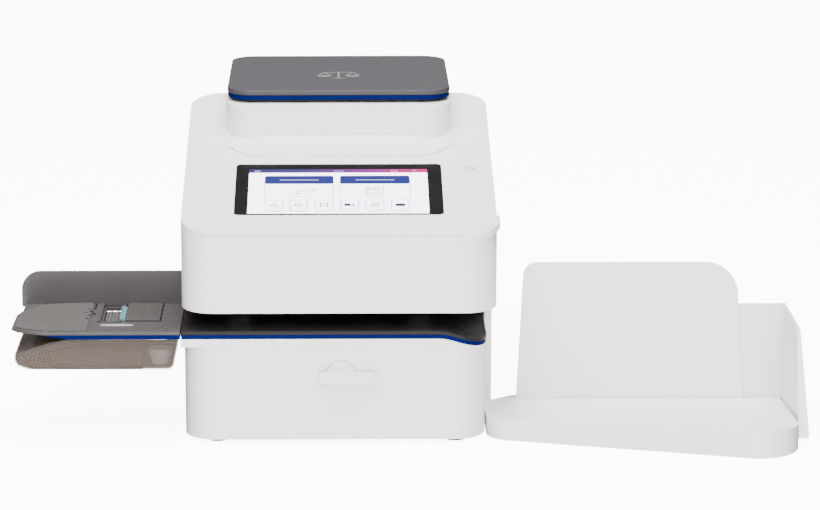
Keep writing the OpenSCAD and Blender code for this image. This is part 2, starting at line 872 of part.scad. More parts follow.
module hinge_brackets() {
    color(steel) for (s = [-1, 1]) difference() {
        union() {
            for (k = [-1, 1]) {
                x = s * arm_x + k * (arm_t / 2 + 2.2);
                end_on(x - 1.5, x + 1.5) union() {
                    translate([hinge_y, hinge_z]) circle(6.5);
                    translate([hinge_y - 2, hinge_z - 12]) square([9, 12]);
                }
            }
            foot = [s * (arm_x - 5.7), s * (body_x - wall - gap)];
            block(min(foot), max(foot), hinge_y - 2, hinge_y + 12, hinge_z - 12, hinge_z - 9.5);
        }
        rod_x(hinge_y, hinge_z, -big / 2, big / 2, pin_r);
    }
}

module hinge_pins() {
    color(steel) for (s = [-1, 1])
        rod_x(hinge_y, hinge_z, s * arm_x - 7, s * arm_x + 7, pin_r);
}

module display_glass() {
    color(black) on_panel(0, glass_y) translate([0, 0, -1.8]) linear_extrude(1.8)
        plan(-glass_w / 2, glass_w / 2, -glass_d / 2, glass_d / 2, 4);
}

module lcd_panel() {
    color(grey) on_panel(0, glass_y) translate([0, 0, -5]) linear_extrude(3.2)
        plan(-82, 82, -46, 46, 1);
}

module display_housing() {
    z = -lid_t;
    bx = button_x();
    by = (button_y() - glass_y) / cos(panel_tilt);
    color(grey) on_panel(0, glass_y) difference() {
        union() {
            translate([0, 0, z - 13]) linear_extrude(13) plan(-92, 92, -50, 50, 4);
            translate([86, by - 10, z - 10]) cube([bx - 86 + 10, 20, 2]);
        }
        translate([0, 0, z - 11]) linear_extrude(12) plan(-90, 90, -48, 48, 3);
        for (i = [0:5]) translate([-60 + i * 22, -30, z - 14]) cube([10, 60, 4]);
    }
}

module power_button() {
    color(white) on_panel(button_x(), button_y()) union() {
        translate([0, 0, -lid_t - 1.2]) cylinder(h = lid_t + 1.2, r = button_r);
        translate([0, 0, -lid_t - 2]) cylinder(h = 1.4, r = button_r + 1.5);
        translate([0, 0, -lid_t - 7.8 + button_travel]) cylinder(h = 6.8 - button_travel, r = 3);
    }
}

// ---- feed and sealing unit ----

module feed_outline() {
    polygon([[feed_x, 0], [tip_x + 28, 0], [tip_x + 6, 9], [tip_x, 16.4], [tip_x + 0.6, 57],
        [tip_x + 4.6, 72], [tip_x + 4.6, path_d - 3], [feed_x, path_d - 3]]);
}

module feed_deck() {
    color(smoke) difference() {
        translate([0, 0, plate_z]) linear_extrude(deck_t) feed_outline();
        block(feed_x - 70, feed_x - 18, 34, 97.5, plate_z - 1, deck_z + 1);
        block(feed_x - 78, feed_x - 76.4, 75, path_d, plate_z - 1, deck_z + 1);
        block(feed_x - 70, feed_x - 40, 20, 26, deck_z - 1.2, deck_z + 1);
    }
}

module feed_trim() {
    color(blue) side_on(0.4, 3.4) polygon([[feed_x, trim_z], [wedge_x, trim_z],
        [tip_x + 28, plate_z - 0.6], [tip_x + 28, plate_z], [feed_x, plate_z]]);
}

module feed_frame() {
    z0 = trim_z;
    color(grey) union() {
        difference() {
            block(tip_x + 50, feed_x, 4, path_d + 4, z0, plate_z);
            block(feed_x - 68, feed_x - 20, 36, 95, z0 - 1, plate_z + 1);
        }
        block(tip_x + 6, tip_x + 51, 60, path_d + 4, z0, plate_z);
        block(feed_x - 10, bracket_x0 + 1.4, 30, 90, z0, plate_z);
        for (s = [0, 1]) {
            x = s == 0 ? wedge_x + 4 : feed_x - 12;
            block(x, x + 2, 8, path_d + 2, z0 - rail_drop, z0 + 1);
            block(s == 0 ? x - 4 : x, s == 0 ? x + 2 : x + 6, 8, path_d + 2, z0 - rail_drop,
                z0 - rail_drop + 1.6);
        }
    }
}

module feed_wall() {
    r = 17;
    x0 = tip_x + 1.3;
    top = deck_z + feed_wall_h;
    color(smoke) side_on(path_d - 2.6, path_d) difference() {
        union() {
            translate([x0 + r, plate_z]) square([feed_x - x0 - r, top - plate_z]);
            translate([x0, plate_z]) square([feed_x - x0, top - r - plate_z]);
            translate([x0 + r, top - r]) circle(r);
        }
        translate([x0 - 1, 0]) square([feed_l, plate_z]);
    }
}

module brush_holder() {
    color(smoke) union() {
        block(feed_x - 49, feed_x - 19, 38, 96, plate_z, deck_z + 0.8);
        block(feed_x - 46, feed_x - 22, 42, 92, plate_z - 8, plate_z + 0.1);
    }
}

module moistener_brush() {
    color("teal") block(feed_x - 52.5, feed_x - 49, 38, 78, plate_z - 6, deck_z + 1.6);
}

module sealer_profile(inset) {
    r = 8;
    offset(delta = -inset) union() {
        polygon([[tank_x0, 77.9], [tank_x0 + 29, 87.1], [wedge_x, trim_z - 0.5], [tank_x1 - 0.5, trim_z - 0.5],
            [tank_x1, cover_top], [tank_x1 - 3.9, tank_z + 3], [tank_x1 - 7, tank_z], [tank_x0 + r + 4, tank_z],
            [tank_x0 + 2.5, tank_z + 3.4], [tank_x0, tank_z + r]]);
    }
}

module sealer_housing() {
    color(amber) difference() {
        side_on(tank_y, tank_y + tank_d) sealer_profile(0);
        side_on(tank_y + skin, tank_y + tank_d - skin) sealer_profile(skin);
        block(wedge_x + 2, wedge_x + 12, tank_y + skin, tank_y + tank_d + 1, trim_z - 4, trim_z + 1);
        block(feed_x - 16, feed_x - 5.5, tank_y + skin, tank_y + tank_d + 1, trim_z - 4, trim_z + 1);
        block(wedge_x + 11.9, feed_x - 15.9, tank_y + skin, tank_y + tank_d - skin, trim_z - 4, trim_z + 1);
        block(wedge_x - 3, wedge_x + 12, tank_y + tank_d - skin - 1, tank_y + tank_d + 1, trim_z - 9, trim_z + 1);
        block(feed_x - 16, feed_x - 3, tank_y + tank_d - skin - 1, tank_y + tank_d + 1, trim_z - 9, trim_z + 1);
        block(feed_x - 55, feed_x - 15.9, tank_y + tank_d - skin - 1, tank_y + tank_d + 1, plate_z - 9,
            trim_z + 1);
    }
}

module water_tank() {
    x0 = tip_x + 33;
    x1 = feed_x - 32;
    color(amber) difference() {
        block(x0, x1, tank_y + skin + 0.3, tank_y + tank_d - skin - 4, tank_z + skin + 0.2, 80);
        block(x0 + 1.6, x1 - 1.6, tank_y + skin + 1.9, tank_y + tank_d - skin - 5.6, tank_z + skin + 1.8, 81);
    }
}

module tank_cap() {
    x = feed_x - 18;
    color(white) translate([x, tank_y + 15, 0]) union() {
        translate([0, 0, tank_z + skin + 0.2]) cylinder(h = 6, r = 7.8);
        translate([0, 0, tank_z + skin + 6]) cylinder(h = 8, r = 9.4);
        translate([-7, -1.5, tank_z + skin + 13.9]) cube([14, 3, 2.4]);
    }
}

// ---- drop stacker ----

module tray_plan(inset) {
    y1 = 122;
    offset(delta = -inset) hull() {
        translate([tray_x + 24, 28]) circle(24, $fn = 96);
        translate([tray_x1 - 36, tray_front + 36]) circle(36, $fn = 96);
        translate([tray_x1 - 8, y1 - 8]) circle(8, $fn = 32);
        translate([tray_x, 60]) square([10, 30]);
        translate([tray_x + 26, y1 - 10]) square([10, 10]);
    }
}

module above_tray(drop) {
    translate([0, -3, tray_h - drop]) rotate([-tray_tilt, 0, 0])
        translate([-big / 2, -big / 2, 0]) cube([2 * big, big, big]);
}

module stacker_tray() {
    scoop = 5;
    scoop_r = 300;
    color(white) difference() {
        linear_extrude(60) tray_plan(0);
        above_tray(0);
        difference() {
            translate([0, 0, -1]) linear_extrude(60) tray_plan(wall);
            above_tray(scoop + 4);
            block(tray_x1 - 160, tray_x1 - 18, 20, 104, 3, 40);
        }
        translate([(tray_x + tray_x1) / 2, 0, tray_top(-25) + scoop_r - scoop])
            rotate([90 - tray_tilt, 0, 0]) cylinder(h = 100, r = scoop_r, $fn = 256);
        block(tray_x1 - 140, tray_x1 + 1, 30 - gap, 80 + gap, -1, 6 + gap);
        translate([0, wall_y - 0.9, 0]) rotate([-lean, 0, 0])
            block(wall_x0 - 1, wall_x1 + 5, -gap, wall_t + ext_t + 2 * gap + 1, 6, 60);
        block(wall_x1, tray_x1 + 1, wall_y + wall_t, 130, 4, 60);
    }
}

module lean_back() {
    translate([0, wall_y, 0]) rotate([-lean, 0, 0]) children();
}

module stacker_back_wall() {
    h = stack_wall_z / cos(lean);
    color(white) lean_back() side_on(0, wall_t) difference() {
        hull() {
            translate([wall_x0, 7.5]) square([wall_x1 - wall_x0, 1]);
            translate([wall_x0 + 18, h - 12]) circle(12, $fn = 64);
            translate([wall_x1 - 36, h - 30]) circle(30, $fn = 96);
        }
        translate([wall_x0 - 1, 7]) square([1, 2]);
    }
}

module stacker_extension() {
    h = ext_z / cos(lean);
    color(white) difference() {
        union() {
            lean_back() block(tray_x1 - 150, ext_x + ext_t, wall_t + gap, wall_t + gap + ext_t, 8, h);
            intersection() {
                end_on(ext_x, ext_x + ext_out) polygon([[-1.5, 7], [0, 3], [118, 3], [118, ext_z - 1.5],
                    [30, ext_z], [26, ext_z - 3]]);
                side_on(-10, 125) polygon([[ext_x, 0], [ext_x + ext_out, 0], [ext_x + ext_out, 8],
                    [ext_x + ext_t, ext_z + 1], [ext_x, ext_z + 1]]);
            }
            block(tray_x1 - 45 - ext_travel, ext_x + 1, 30, 80, 3, 6);
            block(ext_x - 0.5, ext_x + ext_t, 30, 112, 3, 12);
        }
        translate([ext_x - 60, 118, 0]) cube([100, 40, 8]);
    }
}

// ---- the assembly ----

module at_reference() { translate([-mid_x, -mid_y, 0]) children(); }

at_reference() base_pan();
at_reference() feet();
at_reference() lower_front_cover();
at_reference() rear_housing();
at_reference() power_inlet();
at_reference() data_ports();
at_reference() deck_ledge();
at_reference() deck_trim();
at_reference() main_deck();
at_reference() registration_wall();
at_reference() main_frame();
at_reference() bearing_bracket();
at_reference() entry_shaft();
at_reference() entry_roller();
at_reference() entry_gear();
at_reference() exit_shaft();
at_reference() exit_roller();
at_reference() exit_pulley();
at_reference() drive_belt();
at_reference() drive_motor();
at_reference() motor_pinion();
at_reference() idler_bracket();
at_reference() entry_idler();
at_reference() exit_idler();
at_reference() upper_shell();
at_reference() throat_ceiling();
at_reference() carriage_rails();
at_reference() print_carriage();
at_reference() ink_cartridge();
at_reference() service_station();
at_reference() main_board();
at_reference() power_supply();
at_reference() rear_top_cover();
at_reference() scale_pedestal();
at_reference() load_cell();
at_reference() load_cell_bracket();
at_reference() platform_frame();
at_reference() platform_trim();
at_reference() weighing_platter();
at_reference() top_cover();
at_reference() hinge_arms();
at_reference() hinge_brackets();
at_reference() hinge_pins();
at_reference() display_glass();
at_reference() lcd_panel();
at_reference() display_housing();
at_reference() power_button();
at_reference() release_lever();
at_reference() feed_frame();
at_reference() feed_trim();
at_reference() feed_deck();
at_reference() feed_wall();
at_reference() brush_holder();
at_reference() moistener_brush();
at_reference() sealer_housing();
at_reference() water_tank();
at_reference() tank_cap();
at_reference() stacker_tray();
at_reference() stacker_back_wall();
at_reference() stacker_extension();
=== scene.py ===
"""Looks of the franking machine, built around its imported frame. Metres, in the frame's own axes."""
import json
import math
import random

import bmesh
import bpy
from mathutils import Matrix, Vector


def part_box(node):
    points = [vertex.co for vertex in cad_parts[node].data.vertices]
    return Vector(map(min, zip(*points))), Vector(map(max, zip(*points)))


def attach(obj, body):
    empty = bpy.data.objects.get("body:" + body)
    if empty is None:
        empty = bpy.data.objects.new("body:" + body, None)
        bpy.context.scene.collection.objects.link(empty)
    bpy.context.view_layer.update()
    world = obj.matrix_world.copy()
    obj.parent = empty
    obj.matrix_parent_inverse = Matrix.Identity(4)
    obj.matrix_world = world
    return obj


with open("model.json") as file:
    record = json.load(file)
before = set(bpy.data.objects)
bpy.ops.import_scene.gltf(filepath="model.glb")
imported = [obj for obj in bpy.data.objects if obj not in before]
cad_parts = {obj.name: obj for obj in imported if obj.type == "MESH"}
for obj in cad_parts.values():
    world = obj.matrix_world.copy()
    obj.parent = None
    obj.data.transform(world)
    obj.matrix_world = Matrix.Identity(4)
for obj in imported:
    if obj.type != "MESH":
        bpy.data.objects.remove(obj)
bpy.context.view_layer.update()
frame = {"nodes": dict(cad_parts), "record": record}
random.seed(7)

MM = 0.001
TILT = math.radians(13.8)          # tilt of the top panel
WHITE = (0.80, 0.785, 0.765)
UP_SLOPE = Vector((0, math.cos(TILT), math.sin(TILT)))
OUT = Vector((0, -math.sin(TILT), math.cos(TILT)))


# ---------------------------------------------------------------- materials

def shader(name):
    material = bpy.data.materials.new(name)
    material.use_nodes = True
    tree = material.node_tree
    return material, tree.nodes, tree.links, tree.nodes["Principled BSDF"]


def noise_field(nodes, links, scale, detail=3.0, stretch=(1, 1, 1)):
    """Noise in the object's own coordinates; scale is in cells per metre."""
    where = nodes.new("ShaderNodeTexCoord")
    mapping = nodes.new("ShaderNodeMapping")
    mapping.inputs["Scale"].default_value = stretch
    field = nodes.new("ShaderNodeTexNoise")
    field.inputs["Scale"].default_value = scale
    field.inputs["Detail"].default_value = detail
    links.new(where.outputs["Object"], mapping.inputs["Vector"])
    links.new(mapping.outputs["Vector"], field.inputs["Vector"])
    return field.outputs["Fac"]


def to_range(nodes, links, source, low, high, centre=0.5, width=0.25):
    span = nodes.new("ShaderNodeMapRange")
    span.inputs["From Min"].default_value = centre - width
    span.inputs["From Max"].default_value = centre + width
    span.inputs["To Min"].default_value = low
    span.inputs["To Max"].default_value = high
    links.new(source, span.inputs["Value"])
    return span.outputs["Result"]


def shade_between(nodes, links, source, first, second):
    mix = nodes.new("ShaderNodeMix")
    mix.data_type = "RGBA"
    mix.inputs["A"].default_value = (*first, 1)
    mix.inputs["B"].default_value = (*second, 1)
    links.new(source, mix.inputs["Factor"])
    return mix.outputs["Result"]


def add_bump(nodes, links, bsdf, height, depth, strength):
    bump = nodes.new("ShaderNodeBump")
    bump.inputs["Distance"].default_value = depth
    bump.inputs["Strength"].default_value = strength
    links.new(height, bump.inputs["Height"])
    links.new(bump.outputs["Normal"], bsdf.inputs["Normal"])


def moulded(name, colour, rough=(0.32, 0.42), grain=900, depth=0.00004, strength=0.35,
            vary=0.03, specular=0.5, coat=0.0, alpha=1.0):
    """Injection-moulded plastic: spark-eroded grain, cloudy gloss and a trace of colour drift."""
    material, nodes, links, bsdf = shader(name)
    cloud = noise_field(nodes, links, 22, 4)
    drift = to_range(nodes, links, cloud, 0, 1)
    darker = tuple(c * (1 - vary) for c in colour)
    links.new(shade_between(nodes, links, drift, darker, colour), bsdf.inputs["Base Color"])
    smudge = noise_field(nodes, links, 60, 5)
    links.new(to_range(nodes, links, smudge, *rough), bsdf.inputs["Roughness"])
    fine = noise_field(nodes, links, grain, 2)
    add_bump(nodes, links, bsdf, fine, depth, strength)
    bsdf.inputs["Specular IOR Level"].default_value = specular
    bsdf.inputs["Coat Weight"].default_value = coat
    bsdf.inputs["Alpha"].default_value = alpha
    return material


def metal(name, colour, rough=(0.28, 0.42), stretch=(1, 1, 1), scale=400, depth=0.00002):
    material, nodes, links, bsdf = shader(name)
    streak = noise_field(nodes, links, scale, 3, stretch)
    tone = to_range(nodes, links, streak, 0, 1)
    darker = tuple(c * 0.86 for c in colour)
    links.new(shade_between(nodes, links, tone, darker, colour), bsdf.inputs["Base Color"])
    links.new(to_range(nodes, links, streak, *rough), bsdf.inputs["Roughness"])
    add_bump(nodes, links, bsdf, streak, depth, 0.4)
    bsdf.inputs["Metallic"].default_value = 1.0
    return material


def rubber(name, colour):
    material, nodes, links, bsdf = shader(name)
    dust = noise_field(nodes, links, 180, 5)
    lighter = tuple(c * 1.7 for c in colour)
    tone = to_range(nodes, links, dust, 0, 1)
    links.new(shade_between(nodes, links, tone, colour, lighter), bsdf.inputs["Base Color"])
    links.new(to_range(nodes, links, dust, 0.62, 0.85), bsdf.inputs["Roughness"])
    add_bump(nodes, links, bsdf, noise_field(nodes, links, 1500, 2), 0.00005, 0.6)
    return material


def gloss_black(name):
    """The display's cover glass over its black border."""
    material, nodes, links, bsdf = shader(name)
    haze = noise_field(nodes, links, 35, 4)
    tone = to_range(nodes, links, haze, 0, 1)
    links.new(shade_between(nodes, links, tone, (0.004, 0.004, 0.005), (0.007, 0.007, 0.008)),
              bsdf.inputs["Base Color"])
    links.new(to_range(nodes, links, haze, 0.03, 0.09), bsdf.inputs["Roughness"])
    bsdf.inputs["Specular IOR Level"].default_value = 0.15
    return material


def glowing(name, colour, strength=1.0):
    """A lit patch of the screen."""
    material, nodes, links, bsdf = shader(name)
    bsdf.inputs["Base Color"].default_value = (0.01, 0.01, 0.01, 1)
    bsdf.inputs["Roughness"].default_value = 0.08
    bsdf.inputs["Specular IOR Level"].default_value = 0.1
    bsdf.inputs["Emission Strength"].default_value = strength
    cells = noise_field(nodes, links, 4000, 0)
    level = to_range(nodes, links, cells, 0, 1)
    dimmer = tuple(c * 0.97 for c in colour)
    links.new(shade_between(nodes, links, level, dimmer, colour), bsdf.inputs["Emission Color"])
    return material


def fading(name, stops, span, strength=1.0):
    """A lit strip whose colour runs through stops along x, over span (from, to) in metres."""
    material, nodes, links, bsdf = shader(name)
    bsdf.inputs["Base Color"].default_value = (0.01, 0.01, 0.01, 1)
    bsdf.inputs["Roughness"].default_value = 0.08
    bsdf.inputs["Emission Strength"].default_value = strength
    where = nodes.new("ShaderNodeTexCoord")
    split = nodes.new("ShaderNodeSeparateXYZ")
    reach = nodes.new("ShaderNodeMapRange")
    reach.inputs["From Min"].default_value = span[0]
    reach.inputs["From Max"].default_value = span[1]
    ramp = nodes.new("ShaderNodeValToRGB")
    while len(ramp.color_ramp.elements) < len(stops):
        ramp.color_ramp.elements.new(0.5)
    for i, colour in enumerate(stops):
        ramp.color_ramp.elements[i].position = i / (len(stops) - 1)
        ramp.color_ramp.elements[i].color = (*colour, 1)
    links.new(where.outputs["Object"], split.inputs["Vector"])
    links.new(split.outputs["X"], reach.inputs["Value"])
    links.new(reach.outputs["Result"], ramp.inputs["Fac"])
    links.new(ramp.outputs["Color"], bsdf.inputs["Emission Color"])
    return material


def circuit(name):
    """Solder mask with lighter copper tracks under it."""
    material, nodes, links, bsdf = shader(name)
    where = nodes.new("ShaderNodeTexCoord")
    tracks = nodes.new("ShaderNodeTexBrick")
    tracks.inputs["Scale"].default_value = 160
    tracks.inputs["Color1"].default_value = (0.012, 0.11, 0.05, 1)
    tracks.inputs["Color2"].default_value = (0.014, 0.13, 0.06, 1)
    tracks.inputs["Mortar"].default_value = (0.03, 0.20, 0.09, 1)
    turn = nodes.new("ShaderNodeMapping")
    turn.inputs["Rotation"].default_value = (math.pi / 2, 0, 0)
    links.new(where.outputs["Object"], turn.inputs["Vector"])
    links.new(turn.outputs["Vector"], tracks.inputs["Vector"])
    links.new(tracks.outputs["Color"], bsdf.inputs["Base Color"])
    links.new(to_range(nodes, links, noise_field(nodes, links, 90), 0.25, 0.4), bsdf.inputs["Roughness"])
    return material


MATERIALS = {
    "shell_white": moulded("shell_white", WHITE, vary=0.02),
    "trim_blue": moulded("trim_blue", (0.0008, 0.0045, 0.066), rough=(0.4, 0.5), specular=0.02),
    "deck_grey": moulded("deck_grey", (0.016, 0.014, 0.015), rough=(0.4, 0.5), grain=1600, strength=0.6,
                         specular=0.1),
    "mid_grey": moulded("mid_grey", (0.048, 0.046, 0.050), rough=(0.45, 0.55), grain=1400,
                        strength=0.6, specular=0.15),
    "black_plastic": moulded("black_plastic", (0.008, 0.008, 0.009), rough=(0.4, 0.55), specular=0.15),
    "rubber": rubber("rubber", (0.018, 0.018, 0.019)),
    "steel": metal("steel", (0.42, 0.43, 0.44), stretch=(1, 1, 0.04)),
    "aluminium": metal("aluminium", (0.55, 0.56, 0.57), stretch=(0.05, 1, 1)),
    "black_glass": gloss_black("black_glass"),
    "smoke_plastic": moulded("smoke_plastic", (0.066, 0.059, 0.058), rough=(0.2, 0.32), coat=0.05,
                             vary=0.16, specular=0.12),
    "amber_plastic": moulded("amber_plastic", (0.175, 0.132, 0.105), rough=(0.1, 0.2),
                             alpha=0.46, vary=0.10, specular=0.25),
    "brush_teal": moulded("brush_teal", (0.10, 0.21, 0.225), rough=(0.5, 0.7), grain=2500, strength=0.9,
                          specular=0.1),
    "gear_white": moulded("gear_white", (0.50, 0.48, 0.43), rough=(0.35, 0.45)),
    "circuit_green": circuit("circuit_green"),
}

FINISH = {
    "amber_edge": moulded("amber_edge", (0.020, 0.013, 0.010), rough=(0.15, 0.25), specular=0.2),
    "amber_light": moulded("amber_light", (0.17, 0.14, 0.12), rough=(0.15, 0.25), specular=0.2, alpha=0.55),
    "guide_plate": moulded("guide_plate", (0.080, 0.074, 0.072), rough=(0.25, 0.35), vary=0.08,
                           specular=0.12),
    "lining": moulded("lining", (0.30, 0.235, 0.19), rough=(0.3, 0.4), specular=0.05),
    "felt": moulded("felt", (0.085, 0.083, 0.082), rough=(0.8, 0.9), grain=2500, strength=0.9,
                    specular=0.05),
    "float_grey": moulded("float_grey", (0.035, 0.034, 0.034), rough=(0.4, 0.5), specular=0.1),
    "print_pale": moulded("print_pale", (0.20, 0.20, 0.205), rough=(0.5, 0.6), specular=0.1),
    "print_dark": moulded("print_dark", (0.012, 0.012, 0.015), rough=(0.5, 0.6), specular=0.05),
    # painted highlight: the pale colour of the lit edge of the slot in front of the window
    "painted_edge_highlight": moulded("painted_edge_highlight", (0.30, 0.295, 0.29), rough=(0.3, 0.4), specular=0.2),
    "label": moulded("label", (0.62, 0.62, 0.60), rough=(0.5, 0.6), grain=2500),
    "copper": metal("copper", (0.50, 0.26, 0.14), scale=700),
    "screen": glowing("screen", (0.888, 0.876, 1.0), 6.9),
    "card": glowing("card", (0.06, 0.10, 1.0), 0.40),
    "tile_edge": glowing("tile_edge", (0.55, 0.60, 1.0), 1.7),
    "icon": glowing("icon", (0.25, 0.27, 1.0), 0.2),
    "sketch": glowing("sketch", (1.0, 0.42, 0.34), 1.3),
    "bar": fading("bar", [(0.030, 0.02, 0.20), (0.05, 0.03, 0.25), (0.37, 0.010, 0.37),
                          (0.96, 0.005, 0.26)], (-0.1386, 0.0162), 1.4),
}


def make(faces_of, material, body, slot, smooth):
    """A mesh object named after faces_of(bmesh), which rides on a body and wears the given material; the
    slot argument is not used.
    """
    name = faces_of.__name__
    mesh = bpy.data.meshes.new(name)
    work = bmesh.new()
    faces_of(work)
    bmesh.ops.recalc_face_normals(work, faces=work.faces)
    work.to_mesh(mesh)
    work.free()
    mesh.materials.append(material)
    if smooth:
        mesh.shade_smooth()
    piece = bpy.data.objects.new(name, mesh)
    bpy.context.scene.collection.objects.link(piece)
    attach(piece, body)


def make_all(rows):
    """Pieces from rows of (faces_of, material, body, slot, smooth), in order."""
    for row in rows:
        make(*row)


# ---------------------------------------------------------------- CAD nodes: finish and soft edges

EDGE = {
    "lower_front_cover": 0.9, "rear_housing": 0.9, "upper_shell": 1.1, "deck_ledge": 0.6,
    "deck_trim": 0.3, "main_deck": 0.6, "top_cover": 1.0, "rear_top_cover": 0.6,
    "scale_pedestal": 1.1, "platform_trim": 0.5, "weighing_platter": 1.3, "platform_frame": 0.3,
    "release_lever": 1.1, "power_button": 0.35, "stacker_tray": 2.4, "stacker_back_wall": 1.1,
    "stacker_extension": 0.9, "feed_deck": 0.7, "feed_wall": 0.8, "sealer_housing": 0.7,
    "tank_cap": 0.9, "display_glass": 0.3, "feet": 0.8,
}
DEFAULT_EDGE = 0.35


def soften(node, width):
    """Joins the facets of flat faces and rounds the sharp edges by width, in millimetres."""
    obj = frame["nodes"][node]
    obj.data.shade_smooth()
    weld = obj.modifiers.new("weld", "WELD")
    weld.merge_threshold = 2e-6
    flat = obj.modifiers.new("flat", "DECIMATE")
    flat.decimate_type = "DISSOLVE"
    flat.angle_limit = math.radians(0.6)
    edge = obj.modifiers.new("edge", "BEVEL")
    edge.width = width * MM
    edge.segments = 3
    edge.limit_method = "ANGLE"
    edge.angle_limit = math.radians(38)
    edge.harden_normals = False
    tidy = obj.modifiers.new("tidy", "WEIGHTED_NORMAL")
    tidy.keep_sharp = False


SLOTS = {entry["node"]: entry["material_slot"] for entry in frame["record"]["subparts"]}
for node, obj in frame["nodes"].items():
    for slot in obj.material_slots:
        slot.material = MATERIALS[SLOTS[node]]
    soften(node, EDGE.get(node, DEFAULT_EDGE))


# ---------------------------------------------------------------- placing and shaping new pieces

ORIGIN = Vector((60.7, 161.5, 0))      # the frame's origin, in millimetres from the body's front middle
PANEL_FOOT = 184.3                     # height of the top panel's front edge
PLATTER_TOP = 270
DECK_TOP = 98.3                        # top of the feed deck


def at(x, y, z):
    """A point given in millimetres from the body's front middle, on the ground."""
    return (Vector((x, y, z)) - ORIGIN) * MM


def on_panel(x, up, out):
    """A point on the tilted top panel: across, up the slope from the front edge, and out of it."""
    return at(x, 0, PANEL_FOOT) + (UP_SLOPE * up + OUT * out) * MM


def on_platter(x, y, out):
    return at(x, y, PLATTER_TOP + out)


def on_deck(x, y, out):
    return at(x, y, DECK_TOP + out)


def facing_front(y_face):
    """Places (x, z, out) on a wall that faces the front."""
    return lambda x, z, out: at(x, y_face - out, z)


def facing_back(y_face):
    return lambda x, z, out: at(-x, y_face + out, z)


def loop(work, points):
    return [work.verts.new(p) for p in points]


def prism(work, base, top):
    """Closes two matching loops of points into a solid."""
    low, high = loop(work, base), loop(work, top)
    work.faces.new(list(reversed(low)))
    work.faces.new(high)
    for i in range(len(low)):
        j = (i + 1) % len(low)
        work.faces.new((low[i], low[j], high[j], high[i]))


def rounded(x0, x1, y0, y1, r, steps=5):
    points = []
    corners = ((x1 - r, y0 + r, -90), (x1 - r, y1 - r, 0), (x0 + r, y1 - r, 90), (x0 + r, y0 + r, 180))
    for cx, cy, start in corners:
        for i in range(steps + 1):
            a = math.radians(start + 90 * i / steps)
            points.append((cx + r * math.cos(a), cy + r * math.sin(a)))
    return points


def sheet(work, place, outline, low, high):
    """An outline laid on a surface by place(a, b, out), from low to high above it."""
    prism(work, [place(a, b, low) for a, b in outline], [place(a, b, high) for a, b in outline])


def stroke(work, place, points, width, low, high):
    """A line of even width through points, laid on a surface."""
    for (ax, ay), (bx, by) in zip(points, points[1:]):
        run = math.hypot(bx - ax, by - ay)
        dx, dy = (bx - ax) / run * width / 2, (by - ay) / run * width / 2
        sheet(work, place, [(ax - dx + dy, ay - dy - dx), (bx + dx + dy, by + dy - dx),
                            (bx + dx - dy, by + dy + dx), (ax - dx - dy, ay - dy + dx)], low, high)


def arc(cx, cy, r, start, end, steps=20, squash=1.0):
    return [(cx + r * math.cos(math.radians(start + (end - start) * i / steps)),
             cy + squash * r * math.sin(math.radians(start + (end - start) * i / steps)))
            for i in range(steps + 1)]


def bar(work, start, end, radius, sides=20, end_radius=None):
    """A round bar, or a cone, between two points in metres; radius in millimetres."""
    axis = (end - start).normalized()
    side = axis.orthogonal().normalized()
    across = axis.cross(side)
    far = radius if end_radius is None else end_radius
    ring = [side * math.cos(2 * math.pi * i / sides) + across * math.sin(2 * math.pi * i / sides)
            for i in range(sides)]
    prism(work, [start + v * radius * MM for v in ring], [end + v * far * MM for v in ring])


def box(work, low, high):
    """A box between two corners in machine millimetres."""
    x0, y0, z0 = low
    x1, y1, z1 = high
    prism(work, [at(x0, y0, z0), at(x1, y0, z0), at(x1, y1, z0), at(x0, y1, z0)],
          [at(x0, y0, z1), at(x1, y0, z1), at(x1, y1, z1), at(x0, y1, z1)])


def screw(work, centre, outward, radius=3.0, height=1.4):
    """A pan-head screw with a cross recess, standing on a surface."""
    n = Vector(outward).normalized()
    bar(work, centre, centre + n * height * 0.55 * MM, radius, 20)
    bar(work, centre + n * height * 0.5 * MM, centre + n * height * MM, radius * 0.92, 20, radius * 0.6)
    side = n.orthogonal().normalized()
    across = n.cross(side)
    for a, b in ((side, across), (across, side)):
        long, short = a * radius * 0.5 * MM, b * radius * 0.12 * MM
        low, high = centre + n * height * MM, centre + n * (height + 0.12) * MM
        prism(work, [low - long - short, low + long - short, low + long + short, low - long + short],
              [high - long - short, high + long - short, high + long + short, high - long + short])


def cable(work, points, radius, sides=8):
    """A smooth lead through points given in machine millimetres."""
    path = [at(*p) for p in points]
    fine = []
    for i in range(len(path) - 1):
        a = path[max(i - 1, 0)]
        b, c = path[i], path[i + 1]
        d = path[min(i + 2, len(path) - 1)]
        for k in range(6):
            t = k / 6
            fine.append(0.5 * ((2 * b) + (c - a) * t + (2 * a - 5 * b + 4 * c - d) * t * t
                               + (3 * b - a - 3 * c + d) * t ** 3))
    fine.append(path[-1])
    rings = []
    side = (fine[1] - fine[0]).orthogonal().normalized()
    for i, p in enumerate(fine):
        axis = (fine[min(i + 1, len(fine) - 1)] - fine[max(i - 1, 0)]).normalized()
        side = (side - axis * side.dot(axis)).normalized()
        across = axis.cross(side)
        rings.append(loop(work, [p + (side * math.cos(2 * math.pi * k / sides)
                                      + across * math.sin(2 * math.pi * k / sides)) * radius * MM
                                 for k in range(sides)]))
    work.faces.new(list(reversed(rings[0])))
    work.faces.new(rings[-1])
    for one, two in zip(rings, rings[1:]):
        for k in range(sides):
            j = (k + 1) % sides
            work.faces.new((one[k], one[j], two[j], two[k]))


# ---------------------------------------------------------------- the display's picture

